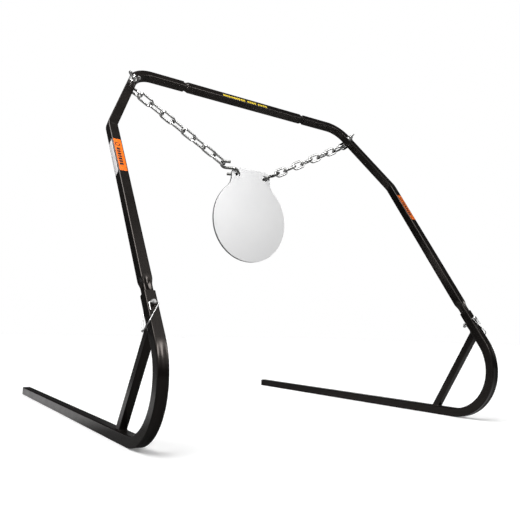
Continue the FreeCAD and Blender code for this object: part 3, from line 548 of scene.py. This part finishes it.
def make_base_tube(name, side):
    """Socket, big front arc and long foot, bent from one tube."""
    origin = X_AXIS * (side * HALF_TRACK)
    heading = -90 - math.degrees(LEAN)
    stations = walk((SOCKET_TOP.y, SOCKET_TOP.z), heading, [
        ("run", SOCKET_LENGTH),
        ("bend", ARC_RADIUS, 90 + math.degrees(LEAN)),
        ("run", FOOT_END - FOOT_START),
    ])

    def shape(station):
        bend, share = station[4:]
        dents = [0.0] * 4
        if bend is not None:
            dents[0] = 0.5 * MM * math.sin(math.pi * share)
            dents[2] = 1.1 * MM * smooth_step(share, 0, 0.1) * (1 - smooth_step(share, 0.85, 1))
        return HALF_TUBE, TUBE_CORNER, dents

    verts, faces = tube_shell(stations, origin, Y_AXIS, Z_AXIS, shape, (0.08, 0.012))
    add_piece("base_body_" + name, verts, faces, PAINT, "frame", "black_paint",
              ["base_tube_" + name])


def weld_bead(name, centre, first, second, half_first, half_second, radius):
    """A rippled fillet weld round a rectangle lying in the plane of first and second."""
    normal = first.cross(second)
    corner = 2.0 * MM
    loop = []
    for sx, sy, start in ((1, 1, 0), (-1, 1, 90), (-1, -1, 180), (1, -1, 270)):
        middle = (sx * (half_first - corner), sy * (half_second - corner))
        loop += arc_points(middle, corner, start, start + 90, 15)
    path = [Vector(p) for p in loop]
    spaced = []
    step = 0.7 * MM
    for k, point in enumerate(path):
        after = path[(k + 1) % len(path)]
        count = max(int((after - point).length / step), 1)
        spaced += [point.lerp(after, j / count) for j in range(count)]
    ripple_pitch = 2.1 * MM
    length = sum((spaced[k] - spaced[k - 1]).length for k in range(len(spaced)))
    ripples = round(length / ripple_pitch)
    rings = []
    travelled = 0.0
    for k, point in enumerate(spaced):
        after = spaced[(k + 1) % len(spaced)]
        before = spaced[k - 1]
        tangent = (after - before).normalized()
        outward = Vector((tangent.y, -tangent.x))
        phase = 2 * math.pi * ripples * travelled / length
        size = radius * (1 + 0.13 * math.cos(phase) + 0.07 * math.sin(phase * 0.37))
        ring = []
        for j in range(12):
            angle = 2 * math.pi * j / 12
            flat = point + outward * (math.cos(angle) * size)
            ring.append(centre + first * flat.x + second * flat.y
                        + normal * (math.sin(angle) * size * 0.85))
        rings.append(ring)
        travelled += (after - point).length
    verts, faces = loft(rings, wrap=True)
    add_piece(name, verts, faces, PAINT, "frame", "black_paint")


def make_brace_welds(name, side):
    """Fillet welds where the brace meets the foot and the back of the socket."""
    x = side * HALF_TRACK
    # the brace runs from the top of the foot up and forward to the socket's back face
    top = leaning(x, BRACE_RISE - SOCKET_LENGTH)
    bottom = Vector((x, FOOT_START + BRACE_REACH, HALF_TUBE))
    along = (top - bottom).normalized()
    foot_point = bottom + along * (HALF_TUBE / along.z)
    back_depth = HALF_TUBE / abs(along.dot(FRONT))
    socket_point = top - along * back_depth
    half = BRACE / 2
    weld_bead("weld_foot_" + name, foot_point, X_AXIS, Y_AXIS, half, half / along.z, WELD_RADIUS)
    lean_share = math.sqrt(1 - along.dot(UP) ** 2)
    weld_bead("weld_socket_" + name, socket_point, X_AXIS, UP, half, half / lean_share,
              WELD_RADIUS)


def make_foot_cap(name, side):
    """Moulded plug with a rounded flange and a shallow dished end."""
    origin = Vector((side * HALF_TRACK, FOOT_END, HALF_TUBE))
    profile = [(-16.0, 10.2), (-15.0, 10.5), (-0.01, 10.5), (0.02, 12.7), (1.7, 12.7), (2.5, 12.4),
               (2.95, 11.6), (3.0, 10.8), (2.7, 10.1), (2.35, 9.2), (2.2, 7.0)]
    rings = []
    for depth, half in profile:
        ring = square_ring(half * MM, min(TUBE_CORNER, half * MM * 0.3))
        rings.append([origin + Y_AXIS * (depth * MM) + X_AXIS * p + Z_AXIS * q for p, q in ring])
    verts, faces = loft(rings)
    add_piece("foot_plug_" + name, verts, faces, PLASTIC, "frame", "black_plastic",
              ["foot_cap_" + name], sharp_angle=50)


# ---------------------------------------------------------------- labels

def strip_of_marks(name, origin, along, across, normal, widths, height, gap, material, body, slot):
    """A row of plain rounded blocks printed on a film."""
    thickness = 0.12 * MM
    shells = []
    reach = 0.0
    for width in widths:
        if width > 0:
            radius = min(height, width) * 0.22
            loop = []
            for sx, sy, start in ((1, 1, 0), (-1, 1, 90), (-1, -1, 180), (1, -1, 270)):
                middle = (sx * (width / 2 - radius), sy * (height / 2 - radius))
                loop += arc_points(middle, radius, start, start + 90, 22)
            centre = origin + along * (reach + width / 2) + normal * (thickness / 2 - 0.02 * MM)
            place = frame_matrix(centre, along, across)
            shells.append(flat_plate([loop], thickness, 0.02 * MM, place))
        reach += abs(width) + gap
    verts, faces = together(*shells)
    return add_piece(name, verts, faces, material, body, slot, weighted=False)


def make_side_label(name, side):
    """Orange film on the upright's front face, and white film on its outer face."""
    length = LABEL_LENGTH
    rise = UPRIGHT_LENGTH - LABEL_DROP[name] - length
    x = side * HALF_TRACK
    film_thickness = 0.22 * MM
    flat = HALF_TUBE - TUBE_CORNER
    radius = 2.0 * MM

    def film_loop(half_width, half_length):
        loop = []
        for sx, sy, start in ((1, 1, 0), (-1, 1, 90), (-1, -1, 180), (1, -1, 270)):
            middle = (sx * (half_width - radius), sy * (half_length - radius))
            loop += arc_points(middle, radius, start, start + 90, 15)
        return loop

    centre = leaning(x, rise + length / 2, HALF_TUBE + film_thickness / 2)
    front = flat_plate([film_loop(flat - 0.3 * MM, length / 2)], film_thickness, 0.05 * MM,
                       frame_matrix(centre, X_AXIS, UP))
    add_piece("label_front_" + name, *front, ORANGE, "frame", "side_label", ["label_" + name],
              weighted=False)
    outer = leaning(x + side * (HALF_TUBE + film_thickness / 2), rise + length / 2)
    side_film = flat_plate([film_loop(flat - 0.3 * MM, length / 2)], film_thickness, 0.05 * MM,
                           frame_matrix(outer, FRONT * side, UP))
    add_piece("label_side_" + name, *side_film, LABEL_WHITE, "frame", "side_label", weighted=False)

    # generic printing: a ring and a row of plain blocks that runs down the film
    face = leaning(x, rise + length, HALF_TUBE + film_thickness) - X_AXIS * 1.5 * MM
    ring = [arc_points((0, 0), 6.6 * MM, 0, 354, 6), arc_points((0, 0), 4.2 * MM, 0, 354, 6)]
    ring_shell = flat_plate(ring, 0.12 * MM, 0.02 * MM,
                            frame_matrix(face - UP * 20 * MM + FRONT * 0.04 * MM, X_AXIS, UP))
    add_piece("label_ring_" + name, *ring_shell, DARK_INK, "frame", "side_label", weighted=False)
    widths = [w * MM for w in (8.2, 6.4, 7.0, 6.0, 7.4, 6.2, 7.8)]
    strip_of_marks("label_marks_" + name, face - UP * 33 * MM, -UP, X_AXIS, FRONT, widths,
                   9.6 * MM, 2.4 * MM, DARK_INK, "frame", "side_label")


def make_crossbar_label():
    """Black film with a row of plain yellow blocks, in three groups."""
    low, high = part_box("crossbar_label")
    length = high[0] - low[0]
    height = 15 * MM
    centre = box_centre("crossbar_label")
    radius = 1.5 * MM
    loop = []
    for sx, sy, start in ((1, 1, 0), (-1, 1, 90), (-1, -1, 180), (1, -1, 270)):
        middle = (sx * (length / 2 - radius), sy * (height / 2 - radius))
        loop += arc_points(middle, radius, start, start + 90, 15)
    place = frame_matrix(centre, X_AXIS, UP)
    shell = flat_plate([loop], 0.22 * MM, 0.04 * MM, place)
    add_piece("strip_film", *shell, STRIP_FILM, "frame", "strip_label", ["crossbar_label"],
              weighted=False)
    widths = [8.6, 7.2, 7.6, 7.0, 7.8, 7.2, 7.6, 8.0, 7.0, -5.0, 7.6, 7.2, 6.4, 7.6, -5.0,
              7.2, 7.8, 7.2, 7.6]
    total = sum(abs(w) for w in widths) + 1.6 * (len(widths) - 1)
    scale = (length - 8 * MM) / (total * MM)
    start = centre - X_AXIS * (total * MM * scale / 2) + FRONT * 0.11 * MM - UP * 1.6 * MM
    strip_of_marks("strip_marks", start, X_AXIS, UP, FRONT, [w * MM * scale for w in widths],
                   9.4 * MM, 1.6 * MM * scale, YELLOW_INK, "frame", "strip_label")


# ---------------------------------------------------------------- fasteners

def ring_profile(inner, outer, low, high, edge):
    """Closed profile of a washer with rounded edges, as (radius, height)."""
    return [(inner, low), (outer - edge, low), (outer, low + edge), (outer, high - edge),
            (outer - edge, high), (inner, high)]


def anchor_point(side_name):
    """Where the bolt's axis crosses the middle of the tube."""
    return box_centre("front_washer_" + side_name) - FRONT * (HALF_TUBE + WASHER[2] / 2)


def make_washers(name):
    """Plain round washers in front of the upright and behind the end link."""
    middle = anchor_point(name)
    bore, outside, thickness = WASHER
    back = -HALF_TUBE - LINK_STACK - thickness
    for label, low in (("front_washer_", HALF_TUBE), ("back_washer_", back)):
        profile = ring_profile(bore / 2, outside / 2, low, low + thickness, 0.4 * MM)
        verts, faces = lathe(middle, FRONT, profile, 64, wrap=True)
        add_piece(label + "disc_" + name, verts, faces, BRIGHT_ZINC, "frame", "zinc_steel",
                  [label + name], sharp_angle=30)


def threaded_rod(origin, axis, low, high, thread_start, radius, pitch, depth):
    """A rod whose surface carries a screw thread from thread_start to its tip."""
    side = axis.orthogonal().normalized()
    other = axis.cross(side)
    steps = 40
    rings = []
    heights = [low] + [thread_start - 0.2 * MM]
    count = int((high - thread_start) / (pitch / 8))
    heights += [thread_start + (high - thread_start) * k / count for k in range(count + 1)]
    for height in heights:
        tip = smooth_step(high - height, 0, 0.9 * MM)
        ring = []
        for k in range(steps):
            angle = 2 * math.pi * k / steps
            cut = 0.0
            if height >= thread_start:
                phase = (height / pitch - k / steps) % 1.0
                cut = depth * abs(2 * phase - 1) * smooth_step(height, thread_start,
                                                               thread_start + pitch)
            reach = (radius - cut) * (0.72 + 0.28 * tip)
            ring.append(origin + axis * height
                        + (side * math.cos(angle) + other * math.sin(angle)) * reach)
        rings.append(ring)
    return loft(rings)


def make_bolt(name):
    """Hexagon bolt with a chamfered head at the back and a threaded end at the front."""
    middle = anchor_point(name)
    head_top = -HALF_TUBE - LINK_STACK - WASHER[2]
    rod = threaded_rod(middle, FRONT, head_top, BOLT_TIP, 4 * MM, BOLT / 2, 1.25 * MM, 0.7 * MM)
    flats = BOLT_HEAD[0] / 2
    corner = flats / math.cos(math.pi / 6)
    rings = []
    side_axis = X_AXIS
    up_axis = FRONT.cross(X_AXIS)
    for height, cap in ((head_top, corner), (head_top - BOLT_HEAD[1] * 0.78, corner),
                        (head_top - BOLT_HEAD[1], flats * 0.96)):
        ring = []
        for k in range(48):
            angle = 2 * math.pi * k / 48
            sector = (angle % (math.pi / 3)) - math.pi / 6
            reach = min(flats / math.cos(sector), cap)
            ring.append(middle + FRONT * height
                        + (side_axis * math.cos(angle) + up_axis * math.sin(angle)) * reach)
        rings.append(ring)
    head = loft(rings)
    verts, faces = together(rod, head)
    add_piece("bolt_body_" + name, verts, faces, BRIGHT_ZINC, "frame", "zinc_steel",
              ["anchor_bolt_" + name], sharp_angle=24)


def make_wing_nut(name, side):
    """Forged wing nut: a turned boss and two rounded ears."""
    base = anchor_point(name) + FRONT * (HALF_TUBE + WASHER[2])
    boss = lathe(base, FRONT, [(4.05 * MM, 0), (7.1 * MM, 0), (7.5 * MM, 0.6 * MM),
                               (7.1 * MM, 6.0 * MM), (6.3 * MM, 9.2 * MM), (5.6 * MM, 10.0 * MM),
                               (4.05 * MM, 10.0 * MM)], 48, wrap=True)
    turn = math.radians(90 + side * NUT_TURN)
    wing = X_AXIS * math.cos(turn) + UP * math.sin(turn)
    ear_centre = (14.2 * MM, 12.9 * MM)
    outline = [(4.5 * MM, 0.8 * MM), (8.0 * MM, 1.3 * MM), (11.5 * MM, 3.6 * MM)]
    outline += arc_points(ear_centre, 5.8 * MM, -50, 145, 9)
    outline += [(7.2 * MM, 10.6 * MM), (4.5 * MM, 9.2 * MM)]
    shells = [boss]
    for hand in (1, -1):
        place = frame_matrix(base, wing * hand, FRONT)
        shells.append(flat_plate([outline], 3.0 * MM, 1.0 * MM, place))
    verts, faces = together(*shells)
    add_piece("wing_nut_body_" + name, verts, faces, BRIGHT_ZINC, "frame", "zinc_steel",
              ["wing_nut_" + name], sharp_angle=45)


# ---------------------------------------------------------------- gong

def make_gong():
    """Thick round plate drawn up into a neck, with eased edges and two hook holes."""
    low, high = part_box("gong_plate")
    radius = 135.5 * MM
    neck = 50 * MM
    half = 73.5 * MM
    top = 169 * MM
    corner = 25 * MM
    hole = 9.5 * MM
    hole_x = 52 * MM
    hole_drop = 22 * MM
    hole_z = top - hole_drop
    neck_x = half + neck
    neck_z = math.sqrt((radius + neck) ** 2 - neck_x ** 2)
    tangent = math.degrees(math.atan2(neck_z, neck_x))
    outline = arc_points((0, 0), radius, -180 - tangent, tangent, 1.5)
    outline += arc_points((neck_x, neck_z), neck, 180 + tangent, 180, 3)[1:]
    outline += arc_points((half - corner, top - corner), corner, 0, 90, 5)
    outline += arc_points((corner - half, top - corner), corner, 90, 180, 5)
    outline += arc_points((-neck_x, neck_z), neck, 0, -tangent, 3)[:-1]
    holes = [arc_points((s * hole_x, hole_z), hole, 0, 354, 6) for s in (-1, 1)]
    centre = Vector((0, (low[1] + high[1]) / 2, low[2] + radius))
    place = frame_matrix(centre, X_AXIS, Z_AXIS)
    verts, faces = flat_plate([outline] + holes, high[1] - low[1], 1.0 * MM, place)
    add_piece("gong_body", verts, faces, WHITE, "gong", "white_paint", ["gong_plate"],
              sharp_angle=50)


# ---------------------------------------------------------------- the object

for side_name, side_sign in SIDES.items():
    make_base_tube(side_name, side_sign)
    make_upright(side_name, side_sign)
    make_brace_welds(side_name, side_sign)
    make_foot_cap(side_name, side_sign)
    make_side_label(side_name, side_sign)
    make_washers(side_name)
    make_bolt(side_name)
    make_wing_nut(side_name, side_sign)
make_crossbar()
make_crossbar_label()
make_gong()

CAD_FINISHES = {"brace": BRACE_PAINT, "chain": CHAIN_ZINC, "end_link": CHAIN_ZINC, "s_hook": HOOK_STEEL,
                "lock_pin": BRIGHT_ZINC, "pin_wire": BRIGHT_ZINC}
for stem, finish in CAD_FINISHES.items():
    for side_name in SIDES:
        node = frame["nodes"][f"{stem}_{side_name}"]
        node.material_slots[0].material = finish


# ---------------------------------------------------------------- floor, light and camera

ROOM_GLOW = 0.03
BACKDROP_GLOW = 1.0
# painted pools of light on the floor, seen only in what the object mirrors and in bounce light: centre,
# radii and tones
FLOOR_LIGHT_POOLS = (
    ((0.3, -0.35, 0), 0.45, 0.8, 0.34),
    ((-0.62, 0.35, 0), 0.35, 0.6, 0.62),
)
FLOOR_PAINTED_SHADE = 0.15
FLOOR_LIFT = 0.2
# soft boxes of the studio: direction, cosine at the edge, cosine of the full part, glow
SOFT_BOXES = (
    ((0.3, -0.66, 0.69), 0.83, 0.97, 0.9),
    ((0.44, -0.66, 0.61), 0.982, 0.998, 10.0),
    ((-0.5, -0.22, 0.84), 0.93, 0.98, 2.4),
    ((0.58, 0.81, 0.08), 0.95, 0.985, 0.26),
    ((-0.95, -0.3, 0.1), 0.6, 0.95, 0.4),
)


def make_floor():
    """A pale floor; what the object mirrors of it carries painted light below the gong and painted
    shade beyond.
    """
    reach = 14.0
    mesh = bpy.data.meshes.new("floor")
    mesh.from_pydata([(-reach, -reach, 0), (reach, -reach, 0), (reach, reach, 0),
                      (-reach, reach, 0)], [], [(0, 1, 2, 3)])
    floor = bpy.data.objects.new("floor", mesh)
    bpy.context.collection.objects.link(floor)
    material, tree, shader = new_material("pale_floor", (0.9, 0.9, 0.9), 0.9)
    shader.inputs["Specular IOR Level"].default_value = 0.0
    place = tree.nodes.new("ShaderNodeTexCoord")
    tone = None
    # painted light: each pool paints the floor's mirrored tone brighter near its centre, fading to a
    # dim painted shade
    for centre, inner, outer, pale in FLOOR_LIGHT_POOLS:
        offset = tree.nodes.new("ShaderNodeVectorMath")
        offset.operation = "DISTANCE"
        offset.inputs[1].default_value = centre
        tree.links.new(place.outputs["Object"], offset.inputs[0])
        patch = remap(tree, offset.outputs["Value"], inner, outer, pale, FLOOR_PAINTED_SHADE)
        if tone is None:
            tone = patch
            continue
        palest = tree.nodes.new("ShaderNodeMath")
        palest.operation = "MAXIMUM"
        tree.links.new(tone, palest.inputs[0])
        tree.links.new(patch, palest.inputs[1])
        tone = palest.outputs["Value"]
    rays = tree.nodes.new("ShaderNodeLightPath")
    seen = mix_colours(tree, rays.outputs["Is Camera Ray"], tone, (0.9, 0.9, 0.9))
    tree.links.new(seen, shader.inputs["Base Color"])
    shader.inputs["Emission Color"].default_value = (1, 1, 1, 1)
    lift = remap(tree, rays.outputs["Is Camera Ray"], 0, 1, 0, FLOOR_LIFT)
    tree.links.new(lift, shader.inputs["Emission Strength"])
    mesh.materials.append(material)


def soft_box(tree, direction, aim, edge, full, glow):
    """A round soft light that only the object sees, in the world's shader."""
    facing = tree.nodes.new("ShaderNodeVectorMath")
    facing.operation = "DOT_PRODUCT"
    facing.inputs[1].default_value = Vector(aim).normalized()
    tree.links.new(direction, facing.inputs[0])
    return remap(tree, facing.outputs["Value"], edge, full, 0, glow)


def make_world():
    """Camera rays see a pale backdrop; everything else sees soft boxes in a dim room."""
    world = bpy.data.worlds.new("studio")
    world.use_nodes = True
    tree = world.node_tree
    direction = tree.nodes.new("ShaderNodeTexCoord").outputs["Generated"]
    rays = tree.nodes.new("ShaderNodeLightPath")
    total = remap(tree, rays.outputs["Is Camera Ray"], 0, 1, ROOM_GLOW, ROOM_GLOW)
    for aim, edge, full, glow in SOFT_BOXES:
        both = tree.nodes.new("ShaderNodeMath")
        both.operation = "ADD"
        tree.links.new(total, both.inputs[0])
        tree.links.new(soft_box(tree, direction, aim, edge, full, glow), both.inputs[1])
        total = both.outputs["Value"]
    choose = tree.nodes.new("ShaderNodeMix")
    tree.links.new(rays.outputs["Is Camera Ray"], choose.inputs["Factor"])
    tree.links.new(total, choose.inputs["A"])
    choose.inputs["B"].default_value = BACKDROP_GLOW
    background = tree.nodes["Background"]
    background.inputs["Color"].default_value = (1, 1, 1, 1)
    tree.links.new(choose.outputs["Result"], background.inputs["Strength"])
    bpy.context.scene.world = world


def make_lights():
    """A broad key light from the front and a narrow lamp on the plate."""
    key_direction = Vector((0.28, 0.1, -0.95))
    lamp_place = Vector((-1.3, -1.7, 1.6))
    plate_place = Vector((-0.27, -0.07, 0.8))
    sun = bpy.data.lights.new("key", "SUN")
    sun.energy = 2.0
    sun.angle = math.radians(40)
    holder = bpy.data.objects.new("key", sun)
    holder.rotation_euler = key_direction.to_track_quat("-Z", "Y").to_euler()
    bpy.context.collection.objects.link(holder)
    spot = bpy.data.lights.new("plate", "SPOT")
    spot.energy = 380
    spot.spot_size = math.radians(25)
    spot.spot_blend = 1.0
    spot.shadow_soft_size = 0.35
    holder = bpy.data.objects.new("plate", spot)
    holder.location = lamp_place
    aim = plate_place - lamp_place
    holder.rotation_euler = aim.to_track_quat("-Z", "Y").to_euler()
    bpy.context.collection.objects.link(holder)


def make_camera():
    """A short lens close to the left front, tilted up a little and rolled slightly."""
    azimuth = math.radians(32.93)
    tilt = math.radians(7.59)
    roll = math.radians(-1.328)
    place = Vector((-0.95855, -1.57898, 0.24097))
    forward = Vector((math.sin(azimuth) * math.cos(tilt), math.cos(azimuth) * math.cos(tilt),
                      math.sin(tilt)))
    right = Vector((math.cos(azimuth), -math.sin(azimuth), 0))
    down = forward.cross(right)
    camera_right = right * math.cos(roll) + down * math.sin(roll)
    camera_down = down * math.cos(roll) - right * math.sin(roll)
    turn = Matrix((camera_right, -camera_down, -forward)).transposed().to_4x4()
    turn.translation = place
    data = bpy.data.cameras.new("camera")
    data.sensor_width = 36.0
    data.lens = 38.89
    data.shift_x = 0.0115
    data.shift_y = -0.0064
    data.clip_end = 100.0
    camera = bpy.data.objects.new("camera", data)
    camera.matrix_world = turn
    bpy.context.collection.objects.link(camera)
    bpy.context.scene.camera = camera


make_floor()
make_world()
make_lights()
make_camera()
bpy.context.scene.view_settings.view_transform = "Standard"
